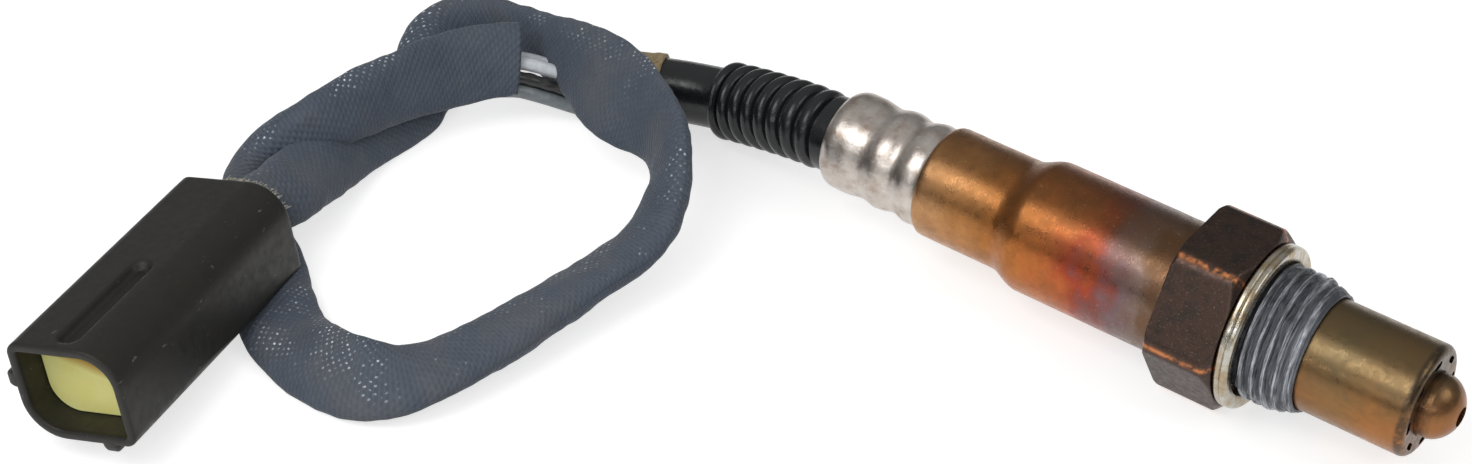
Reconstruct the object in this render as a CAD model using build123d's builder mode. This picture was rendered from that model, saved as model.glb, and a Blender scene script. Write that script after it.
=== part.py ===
"""Exhaust oxygen sensor with its pigtail harness and plug, in millimetres.

The origin is on the thread axis in the plane of the gasket's sealing face. +X runs along
the axis to the probe tip and +Z is up. The sensor lies on a flat of its hexagon, and the
harness and the connector lie on the same surface.
"""
from build123d import *
from math import radians, sqrt, tan
import os

os.makedirs("parts", exist_ok=True)

# clearances
slip_fit = 0.05            # radial gap of a pressed, crimped or seated piece
loose_fit = 0.15           # radial gap of a piece that is pushed in by hand

# hexagon, thread and gasket
hex_across_flats = 22.0
hex_corner_diameter = 24.5
hex_front_bevel = 1.1
hex_rear_bevel = 0.4
hex_length = 9.1
thread_diameter = 18.0
thread_relief_diameter = 16.2
thread_start = 0.0
thread_end = 5.2
housing_lip_diameter = 15.8
housing_front = 7.4
gasket_thickness = 2.0
gasket_diameter = 21.9
gasket_sheet = 0.45
gasket_edge_radius = 0.8

# protection tubes
tube_diameter = 14.8
tube_wall = 0.45
tube_front = 21.9
tube_edge_radius = 1.0
tube_seat_depth = 3.0
tube_slots = 8
tube_slot_width = 0.9
tube_slot_length = 1.9
nose_diameter = 8.5
nose_wall = 0.5
nose_front = 26.1
nose_hole_diameter = 2.6
nose_groove_depth = 0.35
nose_groove_width = 0.8
inner_tube_diameter = 10.6
inner_tube_shoulder = 17.5
inner_tube_hole_diameter = 1.6
inner_tube_holes = 6

# ceramic core
core_bore = 11.0
core_front = 3.0
core_hole_diameter = 7.0
front_bush_length = 6.0
talc_length = 5.0
rear_bush_length = 9.0
packing_ring_length = 1.2
housing_lip = 0.8
housing_spigot_lip_bore = 9.8
element_width = 4.0
element_thickness = 1.3
element_front = 16.0
element_rear = -38.0

# sheet metal sleeves behind the hexagon
sleeve_diameter = 17.9
sleeve_rear_diameter = 15.2
sleeve_wall = 0.5
shoulder_front = -32.6
shoulder_rear = -36.8
sleeve_rear = -48.6
sleeve_rear_roll = 0.9
collar_front = -44.6
collar_wall = 0.4
collar_profile = [          # station and outside diameter of each crest and groove
    (-49.3, 13.9), (-50.6, 14.0), (-52.8, 13.0), (-55.2, 13.9), (-57.6, 13.0),
    (-60.2, 13.65), (-62.4, 13.75), (-63.6, 12.9), (-64.0, 12.0),
]

# contacts
holder_front = -23.0
holder_rear = -40.0
clamp_ring_wall = 0.7
clamp_ring_length = 7.0
contact_width = 1.4
contact_thickness = 0.4
crimp_front = -42.0
crimp_head = 1.0
crimp_length = 5.0
crimp_diameter = 2.4

# wires, boot and band
wire_diameter = 1.9
wire_pitch = 2.5
grommet_front = -49.6
grommet_step = -61.6
grommet_neck_diameter = 10.6
boot_diameter = 8.6
boot_wall = 1.4
rib_diameter = 10.9
rib_width = 1.5
rib_edge_radius = 0.6
rib_pitch = 2.45
rib_count = 8
first_rib = 3.2             # from the collar's rear edge, along the boot
grommet_seal_length = 9.0
band_wall = 0.5
band_grip = 4.8             # length of the boot under the band
band_overhang = 1.0         # past the boot's end

# harness sleeve
harness_diameter = 7.0
harness_wall = 0.6
harness_socket_depth = 3.0  # in the connector's rear

# connector
connector_length = 40.6
connector_width = 15.4
connector_height = 13.3
connector_wall = 1.2
connector_large_radius = 5.2
connector_small_radius = 1.6
connector_yaw = 104.2       # of its axis, from front to rear, about +Z
connector_pitch = -4.5      # its mouth is higher than its rear
connector_roll = 11.9
connector_front_corner = (-113.35, -100.72)    # X and Y of its front, left, bottom corner
mouth_depth = 12.0
insert_recess = 4.3
seal_length = 5.0
seal_wall = 0.8             # of the seal, round the wires
terminal_width = 1.5
terminal_thickness = 0.6
terminal_rear = 9.0
terminal_front_cover = 1.5
wire_grip = 2.0             # length of each wire inside its terminal's crimp
groove_width = 3.0
groove_depth = 1.0
groove_length = 20.0
groove_place = 0.0          # of its middle, to the right of the connector's middle
nub_width = 2.4
nub_height = 1.2
nub_length = 3.0
nub_taper = 20.0
nub_left_place = 8.0        # above the bottom face
nub_bottom_place = 11.4     # from the left face

# table and lie
table_height = -hex_across_flats / 2
harness_rest = table_height + harness_diameter / 2
boot_rest = table_height + boot_diameter / 2 + loose_fit + band_wall + slip_fit

# bend points of the harness between the crimps and the connector's rear, chosen by hand
harness_points = [
    (-66.0, 0.0, 0.0),
    (-77.5, 1.8, -3.0),
    (-86.0, 3.0, -5.6),
    (-94.5, 0.4, boot_rest),
    (-102.5, -4.4, boot_rest),
    (-108.8, -9.8, -6.2),
    (-114.0, -16.4, -2.2),
    (-116.8, -22.8, 0.0),
    (-119.6, -30.0, 0.5),
    (-123.8, -36.4, 1.0),
    (-129.6, -40.6, -2.8),
    (-131.2, -46.0, -6.6),
    (-126.8, -50.2, harness_rest),
    (-119.4, -49.4, harness_rest),
    (-111.6, -49.2, harness_rest),
    (-104.0, -53.0, harness_rest),
    (-99.4, -62.0, harness_rest),
    (-94.8, -69.8, harness_rest),
    (-87.6, -71.8, harness_rest),
    (-81.4, -68.4, harness_rest),
    (-78.0, -62.0, harness_rest),
    (-76.8, -54.2, harness_rest),
    (-75.8, -45.6, harness_rest),
    (-74.8, -37.0, -7.2),
    (-74.2, -28.4, -5.2),
    (-76.4, -20.6, -1.2),
    (-83.0, -14.8, 1.0),
    (-92.0, -10.6, 1.2),
    (-100.8, -6.8, 1.3),
    (-109.6, -3.2, -0.9),
    (-117.6, -0.6, -5.0),
    (-125.6, 1.4, harness_rest),
    (-132.0, -4.4, harness_rest),
    (-130.4, -12.8, harness_rest),
    (-124.0, -18.6, harness_rest),
    (-120.6, -26.0, harness_rest),
    (-119.8, -33.6, harness_rest),
    (-118.9, -37.8, -6.6),
    (-118.9, -43.0, -1.8),
    (-118.9, -49.2, 1.4),
]
boot_end_index = 4            # the boot ends halfway along this run
sleeve_start_index = 6        # the woven sleeve starts halfway along this run
entry_run = 3.0             # from the last bend point to the connector's rear face
fillet_share = 0.45         # of the shorter run, taken by each bend


def connector_frame():
    """The connector's axis, from front to rear, and its width direction, from left to right."""
    lie = Plane.XY.rotated((0, 0, connector_yaw))
    axis = lie.x_dir.rotate(Axis((0, 0, 0), lie.y_dir), -connector_pitch)
    level = axis.cross(Vector(0, 0, 1)).normalized()
    width = level.rotate(Axis((0, 0, 0), axis), -connector_roll)
    return axis, width


def bend_radii(points):
    """The largest even radius that each bend's two runs allow."""
    runs = [end - start for start, end in zip(points, points[1:])]
    return [
        fillet_share * min(first.length, second.length) / tan(radians(first.get_angle(second)) / 2)
        for first, second in zip(runs, runs[1:])
    ]


def carried(points, direction):
    """A direction square to the first run, carried along the bends without twist."""
    runs = [end - start for start, end in zip(points, points[1:])]
    for first, second in zip(runs, runs[1:]):
        direction = direction.rotate(Axis((0, 0, 0), first.cross(second)), first.get_angle(second))
    return direction


def middle(run):
    return (route[run] + route[run + 1]) * 0.5


# connector place: the rear end of a rounded long edge lies on the table, and the rear face
# takes the harness square on
to_rear, to_right = connector_frame()
to_top = to_right.cross(to_rear)
edge_drop = connector_large_radius * (to_right.Z + to_top.Z - sqrt(1 - to_rear.Z ** 2))
front_corner = Vector(
    *connector_front_corner, table_height - edge_drop - connector_length * to_rear.Z
)
rear_face_middle = (
    front_corner + to_rear * connector_length
    + to_right * (connector_width / 2) + to_top * (connector_height / 2)
)
rear_face = Plane(rear_face_middle, x_dir=to_right, z_dir=-to_rear)
wire_stop = rear_face_middle - to_rear * (terminal_rear + wire_grip)

wire_start_point = Vector(crimp_front - crimp_head - 2 * slip_fit, 0, 0)

route = [wire_start_point] + [Vector(*point) for point in harness_points]
route += [rear_face_middle + to_rear * entry_run, wire_stop]
radii = bend_radii(route)
print("bend radii", [round(radius, 1) for radius in radii])

# the wires lie square in the connector, and the core of the sensor is turned to meet them
core_x = carried(list(reversed(route)), to_right)
core = Plane((0, 0, 0), x_dir=core_x, z_dir=(1, 0, 0))

hex_front = -gasket_thickness
hex_rear = hex_front - hex_length
gasket_bore = thread_relief_diameter + 2 * loose_fit
tube_seat = housing_front - tube_seat_depth
tube_bore = tube_diameter - 2 * tube_wall
sleeve_bore = sleeve_diameter - 2 * sleeve_wall
bush_diameter = core_bore - 2 * slip_fit
talc_front = core_front - front_bush_length
rear_bush_front = talc_front - talc_length
ring_front = rear_bush_front - rear_bush_length
housing_rear = ring_front - packing_ring_length - housing_lip
grommet_diameter = min(diameter for _, diameter in collar_profile[:-2]) - 2 * collar_wall - 2 * slip_fit
boot_bore = boot_diameter - 2 * boot_wall
holder_diameter = sleeve_rear_diameter - 2 * (sleeve_wall + clamp_ring_wall + 2 * slip_fit)
collar_rear = collar_profile[-1][0]

# --- sensor body -------------------------------------------------------------------------

with BuildPart() as sensor_housing:
    with BuildSketch(Plane.YZ.offset(hex_rear)):
        RegularPolygon(hex_across_flats / 2, 6, major_radius=False, rotation=0)
    extrude(amount=hex_length)
    with BuildSketch(Plane.XZ):
        with BuildLine():
            Polyline(
                (hex_rear, 0),
                (hex_rear, hex_corner_diameter / 2 - hex_rear_bevel),
                (hex_rear + hex_rear_bevel, hex_corner_diameter / 2),
                (hex_front - hex_front_bevel, hex_corner_diameter / 2),
                (hex_front, hex_corner_diameter / 2 - hex_front_bevel),
                (hex_front, 0),
                close=True,
            )
        make_face()
    revolve(axis=Axis.X, mode=Mode.INTERSECT)
    with BuildSketch(Plane.XZ):
        with BuildLine():
            Polyline(
                (housing_rear, 0),
                (housing_rear, sleeve_bore / 2 - slip_fit),
                (hex_rear, sleeve_bore / 2 - slip_fit),
                (hex_rear, thread_relief_diameter / 2),
                (thread_start, thread_relief_diameter / 2),
                (thread_start, thread_diameter / 2),
                (thread_end, thread_diameter / 2),
                (housing_front, housing_lip_diameter / 2),
                (housing_front, 0),
                close=True,
            )
        make_face()
    revolve(axis=Axis.X)
    with BuildSketch(Plane.XZ):
        with BuildLine():
            Polyline(
                (housing_rear, 0),
                (housing_rear, housing_spigot_lip_bore / 2),
                (housing_rear + housing_lip, housing_spigot_lip_bore / 2),
                (housing_rear + housing_lip, core_bore / 2),
                (core_front, core_bore / 2),
                (core_front, core_hole_diameter / 2),
                (tube_seat, core_hole_diameter / 2),
                (tube_seat, tube_diameter / 2 + slip_fit),
                (housing_front, tube_diameter / 2 + slip_fit),
                (housing_front, 0),
                close=True,
            )
        make_face()
    revolve(axis=Axis.X, mode=Mode.SUBTRACT)

with BuildPart() as sealing_gasket:
    with BuildSketch(Plane.XZ):
        with Locations((hex_front / 2, (gasket_diameter + gasket_bore) / 4)):
            RectangleRounded(gasket_thickness, (gasket_diameter - gasket_bore) / 2, gasket_edge_radius)
    revolve(axis=Axis.X)
    with BuildSketch(Plane.XZ):
        with Locations((hex_front / 2, gasket_bore / 2)):
            Rectangle(gasket_thickness - 2 * gasket_sheet, gasket_thickness)
    revolve(axis=Axis.X, mode=Mode.SUBTRACT)

# --- protection tubes --------------------------------------------------------------------

with BuildPart() as outer_protection_tube:
    with BuildSketch(Plane.YZ.offset(tube_seat)):
        Circle(tube_diameter / 2)
    extrude(amount=tube_front - tube_seat)
    fillet(outer_protection_tube.edges().group_by(Axis.X)[-1], tube_edge_radius)
    with BuildSketch(Plane.YZ.offset(tube_seat)):
        Circle(tube_bore / 2)
    extrude(amount=tube_front - tube_seat - tube_wall, mode=Mode.SUBTRACT)
    with BuildSketch(Plane.YZ.offset(tube_front)):
        Circle(nose_diameter / 2 + slip_fit)
    extrude(amount=-2 * tube_wall, mode=Mode.SUBTRACT)
    with BuildSketch(Plane.YZ.offset(tube_front)):
        with PolarLocations((tube_diameter + nose_diameter) / 4, tube_slots):
            SlotOverall(tube_slot_length, tube_slot_width, rotation=90)
    extrude(amount=-2 * tube_wall, mode=Mode.SUBTRACT)

with BuildPart() as inner_protection_tube:
    with BuildSketch(Plane.XZ) as nose_profile:
        with BuildLine():
            base = Polyline(
                (tube_seat, 0),
                (tube_seat, tube_bore / 2 - slip_fit),
                (tube_seat + nose_wall, tube_bore / 2 - slip_fit),
                (tube_seat + nose_wall, inner_tube_diameter / 2),
                (inner_tube_shoulder, inner_tube_diameter / 2),
                (inner_tube_shoulder + nose_wall, nose_diameter / 2),
                (nose_front - nose_diameter / 2 + nose_wall, nose_diameter / 2),
            )
            dome = EllipticalCenterArc(
                (nose_front - nose_diameter / 2 + nose_wall, 0),
                nose_diameter / 2 - nose_wall,
                nose_diameter / 2,
                start_angle=0,
                arc_size=90,
            )
            Line(dome @ 0, base @ 0)
        make_face()
    revolve(axis=Axis.X)
    with BuildSketch(Plane.XZ):
        with BuildLine():
            base = Polyline(
                (tube_seat, 0),
                (tube_seat, inner_tube_diameter / 2 - nose_wall),
                (inner_tube_shoulder - nose_wall, inner_tube_diameter / 2 - nose_wall),
                (inner_tube_shoulder, nose_diameter / 2 - nose_wall),
                (nose_front - nose_diameter / 2, nose_diameter / 2 - nose_wall),
            )
            dome = EllipticalCenterArc(
                (nose_front - nose_diameter / 2, 0),
                nose_diameter / 2 - nose_wall,
                nose_diameter / 2 - nose_wall,
                start_angle=0,
                arc_size=90,
            )
            Line(dome @ 0, base @ 0)
        make_face()
    revolve(axis=Axis.X, mode=Mode.SUBTRACT)
    with BuildSketch(Plane.YZ.offset(nose_front)):
        Circle(nose_hole_diameter / 2)
    extrude(amount=-nose_diameter / 2, mode=Mode.SUBTRACT)
    with BuildSketch(Plane.XZ):
        with Locations((tube_front + nose_groove_width, nose_diameter / 2)):
            Rectangle(nose_groove_width, nose_groove_depth)
    revolve(axis=Axis.X, mode=Mode.SUBTRACT)
    for turn in range(inner_tube_holes):
        with BuildSketch(Plane.XY.rotated((turn * 360 / inner_tube_holes, 0, 0))):
            with Locations((inner_tube_shoulder - 2 * inner_tube_hole_diameter, 0)):
                Circle(inner_tube_hole_diameter / 2)
        extrude(amount=inner_tube_diameter / 2 + nose_wall, mode=Mode.SUBTRACT)

# --- ceramic core ------------------------------------------------------------------------

with BuildPart() as sensing_element:
    with BuildSketch(core.offset(element_rear)):
        Rectangle(element_width, element_thickness)
    extrude(amount=element_front - element_rear)


def element_slot():
    Rectangle(element_width + 2 * slip_fit, element_thickness + 2 * slip_fit, mode=Mode.SUBTRACT)


with BuildPart() as front_ceramic_bush:
    with BuildSketch(core.offset(core_front)):
        Circle(bush_diameter / 2)
        element_slot()
    extrude(amount=-front_bush_length)

with BuildPart() as talc_packing:
    with BuildSketch(core.offset(talc_front)):
        Circle(bush_diameter / 2)
        element_slot()
    extrude(amount=-talc_length)

with BuildPart() as rear_ceramic_bush:
    with BuildSketch(core.offset(rear_bush_front)):
        Circle(bush_diameter / 2)
        element_slot()
    extrude(amount=-rear_bush_length)

with BuildPart() as packing_ring:
    with BuildSketch(core.offset(ring_front)):
        Circle(bush_diameter / 2)
        Circle(housing_spigot_lip_bore / 2 - packing_ring_length, mode=Mode.SUBTRACT)
    extrude(amount=-packing_ring_length)

# --- sleeves behind the hexagon ----------------------------------------------------------


def stepped_line(large, small, rear):
    """Outline of the stepped sleeve: a large bore, an S-shaped shoulder and a small bore."""
    front = Line((hex_rear, large), (shoulder_front, large))
    shoulder = Spline(
        front @ 1,
        (shoulder_rear, small),
        tangents=[(-1, 0), (-1, 0)],
    )
    back = Line(shoulder @ 1, (rear, small))
    return front, back


with BuildPart() as protective_sleeve:
    with BuildSketch(Plane.XZ):
        with BuildLine():
            outer_front, outer_back = stepped_line(
                sleeve_diameter / 2, sleeve_rear_diameter / 2, sleeve_rear + sleeve_rear_roll
            )
            roll = RadiusArc(
                outer_back @ 1,
                (sleeve_rear, sleeve_rear_diameter / 2 - sleeve_wall),
                -sleeve_rear_roll,
            )
            inner_front, inner_back = stepped_line(
                sleeve_diameter / 2 - sleeve_wall, sleeve_rear_diameter / 2 - sleeve_wall, sleeve_rear
            )
            Line(outer_front @ 0, inner_front @ 0)
        make_face()
    revolve(axis=Axis.X)

collar_seat_radius = sleeve_rear_diameter / 2 - sleeve_wall - slip_fit

with BuildPart() as crimp_collar:
    with BuildSketch(Plane.XZ):
        with BuildLine():
            crests = [(station, diameter / 2) for station, diameter in collar_profile]
            troughs = [(station, radius - collar_wall) for station, radius in crests]
            seat = Line((collar_front, collar_seat_radius), (sleeve_rear, collar_seat_radius))
            outside = Spline(seat @ 1, *crests)
            inside_seat = Line(
                (collar_front, collar_seat_radius - collar_wall), (sleeve_rear, collar_seat_radius - collar_wall)
            )
            inside = Spline(inside_seat @ 1, *troughs)
            Line(seat @ 0, inside_seat @ 0)
            Line(outside @ 1, inside @ 1)
        make_face()
    revolve(axis=Axis.X)

# --- contacts ----------------------------------------------------------------------------

contact_seat = element_thickness / 2 + contact_thickness + slip_fit

for name, side in (("contact_holder_upper", 1), ("contact_holder_lower", -1)):
    with BuildPart() as contact_holder:
        with BuildSketch(core.offset(holder_front)):
            Circle(holder_diameter / 2)
            with Locations((0, -side * holder_diameter / 2)):
                Rectangle(holder_diameter, holder_diameter + 2 * slip_fit, mode=Mode.SUBTRACT)
            Rectangle(element_width + 4 * slip_fit, 2 * contact_seat, mode=Mode.SUBTRACT)
        extrude(amount=holder_rear - holder_front)
    contact_holder.part.label = name
    export_step(contact_holder.part, f"parts/{name}.step")

with BuildPart() as holder_clamp_ring:
    with BuildSketch(core.offset((holder_front + holder_rear + clamp_ring_length) / 2)):
        Circle(sleeve_rear_diameter / 2 - sleeve_wall - slip_fit)
        Circle(holder_diameter / 2 + slip_fit, mode=Mode.SUBTRACT)
    extrude(amount=-clamp_ring_length)

with BuildPart() as contact_springs:
    with BuildSketch(core.offset(crimp_front)):
        with GridLocations(wire_pitch, element_thickness + contact_thickness, 2, 2):
            Rectangle(contact_width, contact_thickness)
    extrude(amount=holder_front - crimp_front)

with BuildPart() as wire_crimps:
    with BuildSketch(core.offset(crimp_front)):
        with GridLocations(wire_pitch, wire_pitch, 2, 2):
            Circle(crimp_diameter / 2)
    extrude(amount=-crimp_length)
    with BuildSketch(core.offset(crimp_front - crimp_head)):
        with GridLocations(wire_pitch, wire_pitch, 2, 2):
            Circle(wire_diameter / 2 + slip_fit)
    extrude(amount=crimp_head - crimp_length, mode=Mode.SUBTRACT)

# --- boot and band -----------------------------------------------------------------------

boot_end = middle(boot_end_index)
boot_route = [Vector(grommet_front, 0, 0)] + route[1:boot_end_index + 1] + [boot_end]
boot_section = Plane(boot_route[0], x_dir=core_x, z_dir=(-1, 0, 0))
rib_root = boot_diameter / 2 - boot_wall / 2
neck_length = grommet_step - collar_rear + first_rib - rib_width

with BuildPart() as grommet_boot:
    with BuildSketch(boot_section):
        Circle(grommet_diameter / 2)
    extrude(amount=grommet_front - grommet_step)
    with BuildSketch(boot_section.offset(grommet_front - grommet_step)):
        Circle(grommet_neck_diameter / 2)
    extrude(amount=neck_length)
    with BuildLine() as boot_line:
        FilletPolyline(*boot_route, radius=radii[:boot_end_index])
    boot_path = boot_line.wires()[0]
    with BuildSketch(boot_section):
        Circle(boot_diameter / 2)
    sweep(path=boot_path)
    for rib in range(rib_count):
        along = grommet_front - collar_rear + first_rib + rib * rib_pitch
        place = boot_path.position_at(along, position_mode=PositionMode.LENGTH)
        heading = boot_path.tangent_at(along, position_mode=PositionMode.LENGTH)
        with BuildSketch(Plane(place, x_dir=heading, z_dir=heading.cross(Vector(0, 0, 1)))):
            with Locations((0, (rib_diameter / 2 + rib_root) / 2)):
                RectangleRounded(rib_width, rib_diameter / 2 - rib_root, rib_edge_radius)
        revolve(axis=Axis(place, heading))
    with BuildSketch(boot_section):
        Circle(boot_bore / 2)
    sweep(path=boot_path, mode=Mode.SUBTRACT)
    with BuildSketch(boot_section):
        Circle(boot_bore / 2)
        with GridLocations(wire_pitch, wire_pitch, 2, 2):
            Circle(wire_diameter / 2 + slip_fit, mode=Mode.SUBTRACT)
    extrude(amount=grommet_seal_length)

band_front = boot_path.position_at(boot_path.length - band_grip, position_mode=PositionMode.LENGTH)
band_run = boot_end - band_front

with BuildPart() as boot_end_band:
    with BuildSketch(Plane(band_front, z_dir=band_run)):
        Circle(boot_diameter / 2 + loose_fit + band_wall)
        Circle(boot_diameter / 2 + loose_fit, mode=Mode.SUBTRACT)
    extrude(amount=band_run.length + band_overhang)

# --- wires and woven sleeve --------------------------------------------------------------

wire_start = Plane(wire_start_point, x_dir=core_x, z_dir=(-1, 0, 0))
wire_colours = ("white_a", "white_b", "black", "grey")
wire_corners = ((1, 1), (-1, 1), (-1, -1), (1, -1))

for colour, (column, row) in zip(wire_colours, wire_corners):
    with BuildPart() as wire:
        with BuildLine():
            FilletPolyline(*route, radius=radii)
        with BuildSketch(wire_start):
            with Locations((column * wire_pitch / 2, row * wire_pitch / 2)):
                Circle(wire_diameter / 2)
        sweep()
    wire.part.label = f"wire_{colour}"
    export_step(wire.part, f"parts/wire_{colour}.step")

sleeve_start = middle(sleeve_start_index)
sleeve_end = rear_face_middle - to_rear * (harness_socket_depth - slip_fit)
sleeve_route = [sleeve_start] + route[sleeve_start_index + 1:-1] + [sleeve_end]
sleeve_section = Plane(sleeve_start, z_dir=route[sleeve_start_index + 1] - sleeve_start)

with BuildPart() as harness_sleeve:
    with BuildLine() as sleeve_line:
        FilletPolyline(*sleeve_route, radius=radii[sleeve_start_index:])
    sleeve_path = sleeve_line.wires()[0]
    with BuildSketch(sleeve_section):
        Circle(harness_diameter / 2)
    sweep(path=sleeve_path)
    with BuildSketch(sleeve_section):
        Circle(harness_diameter / 2 - harness_wall)
    sweep(path=sleeve_path, mode=Mode.SUBTRACT)

print("woven sleeve length", round(sleeve_path.length, 1))

# --- connector ---------------------------------------------------------------------------


def housing_outline(inset):
    """The connector's section, with two tight and two large corners, drawn in its own plane."""
    half_width = connector_width / 2 - inset
    half_height = connector_height / 2 - inset
    tight = max(connector_small_radius - inset, slip_fit)
    large = connector_large_radius - inset
    with BuildLine() as outline:
        FilletPolyline(
            (half_width, -half_height),
            (half_width, half_height),
            (-half_width, half_height),
            (-half_width, -half_height),
            close=True,
            radius=[tight, large, tight, large],
        )
    make_face(outline.edges())


insert_front = connector_length - insert_recess
insert_rear = connector_length - mouth_depth
terminal_front = insert_front - terminal_front_cover
seal_radius = wire_pitch / sqrt(2) + wire_diameter / 2 + seal_wall
seal_front = harness_socket_depth + seal_length
terminal_chamber = wire_pitch + crimp_diameter + 2 * slip_fit

with BuildPart() as connector_housing:
    with BuildSketch(rear_face):
        housing_outline(0)
    extrude(amount=connector_length)
    with BuildSketch(rear_face.offset(connector_length)):
        housing_outline(connector_wall)
    extrude(amount=-mouth_depth, mode=Mode.SUBTRACT)
    with BuildSketch(rear_face):
        Circle(harness_diameter / 2 + loose_fit)
    extrude(amount=harness_socket_depth, mode=Mode.SUBTRACT)
    with BuildSketch(rear_face.offset(harness_socket_depth)):
        Circle(seal_radius)
    extrude(amount=seal_length, mode=Mode.SUBTRACT)
    with BuildSketch(rear_face.offset(seal_front)):
        Rectangle(terminal_chamber, terminal_chamber)
    extrude(amount=insert_rear - seal_front, mode=Mode.SUBTRACT)
    top_face = Plane(
        rear_face_middle + to_top * (connector_height / 2) - to_rear * connector_length,
        x_dir=to_right,
        z_dir=to_top,
    )
    with BuildSketch(top_face):
        with Locations((groove_place, 0)):
            SlotOverall(2 * groove_length, groove_width, rotation=90)
    extrude(amount=-groove_depth, mode=Mode.SUBTRACT)
    bottom_nub = Plane(
        rear_face_middle - to_top * (connector_height / 2 - slip_fit) - to_rear * connector_length,
        x_dir=to_right,
        z_dir=-to_top,
    )
    with BuildSketch(bottom_nub):
        with Locations((nub_bottom_place - connector_width / 2, -nub_length / 2)):
            Rectangle(nub_width, nub_length)
    extrude(amount=nub_height + slip_fit, taper=nub_taper)
    left_nub = Plane(
        rear_face_middle - to_right * (connector_width / 2 - slip_fit) - to_rear * connector_length,
        x_dir=to_top,
        z_dir=-to_right,
    )
    with BuildSketch(left_nub):
        with Locations((nub_left_place - connector_height / 2, nub_length / 2)):
            Rectangle(nub_width, nub_length)
    extrude(amount=nub_height + slip_fit, taper=nub_taper)

with BuildPart() as terminal_retainer:
    with BuildSketch(rear_face.offset(insert_rear + slip_fit)):
        housing_outline(connector_wall + loose_fit)
        with GridLocations(wire_pitch, wire_pitch, 2, 2):
            Rectangle(terminal_width + 2 * slip_fit, terminal_thickness + 2 * slip_fit, mode=Mode.SUBTRACT)
    extrude(amount=terminal_front - insert_rear)
    with BuildSketch(rear_face.offset(terminal_front + slip_fit)):
        housing_outline(connector_wall + loose_fit)
    extrude(amount=terminal_front_cover)

with BuildPart() as terminals:
    with BuildSketch(rear_face.offset(terminal_rear)):
        with GridLocations(wire_pitch, wire_pitch, 2, 2):
            Circle(crimp_diameter / 2)
    extrude(amount=crimp_length)
    with BuildSketch(rear_face.offset(terminal_rear)):
        with GridLocations(wire_pitch, wire_pitch, 2, 2):
            Circle(wire_diameter / 2 + slip_fit)
    extrude(amount=crimp_length - crimp_head, mode=Mode.SUBTRACT)
    with BuildSketch(rear_face.offset(terminal_rear + crimp_length)):
        with GridLocations(wire_pitch, wire_pitch, 2, 2):
            Rectangle(terminal_width, terminal_thickness)
    extrude(amount=terminal_front - terminal_rear - crimp_length)

with BuildPart() as wire_seal:
    with BuildSketch(rear_face.offset(harness_socket_depth)):
        Circle(seal_radius - slip_fit)
        with GridLocations(wire_pitch, wire_pitch, 2, 2):
            Circle(wire_diameter / 2 + slip_fit, mode=Mode.SUBTRACT)
    extrude(amount=seal_length)

single_pieces = {
    "sensor_housing": sensor_housing,
    "sealing_gasket": sealing_gasket,
    "outer_protection_tube": outer_protection_tube,
    "inner_protection_tube": inner_protection_tube,
    "sensing_element": sensing_element,
    "front_ceramic_bush": front_ceramic_bush,
    "talc_packing": talc_packing,
    "rear_ceramic_bush": rear_ceramic_bush,
    "packing_ring": packing_ring,
    "protective_sleeve": protective_sleeve,
    "crimp_collar": crimp_collar,
    "holder_clamp_ring": holder_clamp_ring,
    "contact_springs": contact_springs,
    "wire_crimps": wire_crimps,
    "grommet_boot": grommet_boot,
    "boot_end_band": boot_end_band,
    "harness_sleeve": harness_sleeve,
    "connector_housing": connector_housing,
    "terminal_retainer": terminal_retainer,
    "terminals": terminals,
    "wire_seal": wire_seal,
}
for name, piece in single_pieces.items():
    piece.part.label = name
    export_step(piece.part, f"parts/{name}.step")
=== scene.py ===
"""Looks of an exhaust oxygen sensor with its harness and plug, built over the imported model.

Sizes are in millimetres until a mesh is made, and angles are in degrees. X runs along the
sensor to the probe tip and Z is up, as in the model.
"""
from bisect import bisect_right
from math import atan2, ceil, copysign, cos, exp, hypot, pi, radians, sin, sqrt

import bpy
from mathutils import Matrix, Vector, noise


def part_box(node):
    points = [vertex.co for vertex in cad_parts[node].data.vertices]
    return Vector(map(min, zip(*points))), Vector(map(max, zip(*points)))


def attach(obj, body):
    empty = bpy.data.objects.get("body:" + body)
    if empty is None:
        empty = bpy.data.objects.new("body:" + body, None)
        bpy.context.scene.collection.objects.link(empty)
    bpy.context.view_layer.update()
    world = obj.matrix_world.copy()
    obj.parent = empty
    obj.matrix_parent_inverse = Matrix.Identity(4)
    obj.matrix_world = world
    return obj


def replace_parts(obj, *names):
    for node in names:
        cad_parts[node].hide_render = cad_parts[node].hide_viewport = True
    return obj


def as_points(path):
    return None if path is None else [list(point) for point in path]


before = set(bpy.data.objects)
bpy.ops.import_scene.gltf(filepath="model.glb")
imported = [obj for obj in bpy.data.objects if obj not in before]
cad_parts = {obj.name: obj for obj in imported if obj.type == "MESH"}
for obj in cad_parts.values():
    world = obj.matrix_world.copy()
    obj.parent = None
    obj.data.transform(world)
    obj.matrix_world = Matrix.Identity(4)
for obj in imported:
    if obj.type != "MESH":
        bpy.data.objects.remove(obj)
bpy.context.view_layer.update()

MM = 0.001
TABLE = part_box("sensor_housing")[0][2] / MM

# camera
CAMERA_AZIMUTH = 35.517
CAMERA_ELEVATION = 38.789
CAMERA_ROLL = 1.669
CAMERA_PLACE = (110.14, -268.26, 239.93)
FOCAL_PIXELS = 3000
IMAGE_WIDTH = 1472
SENSOR_WIDTH = 36.0

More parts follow.
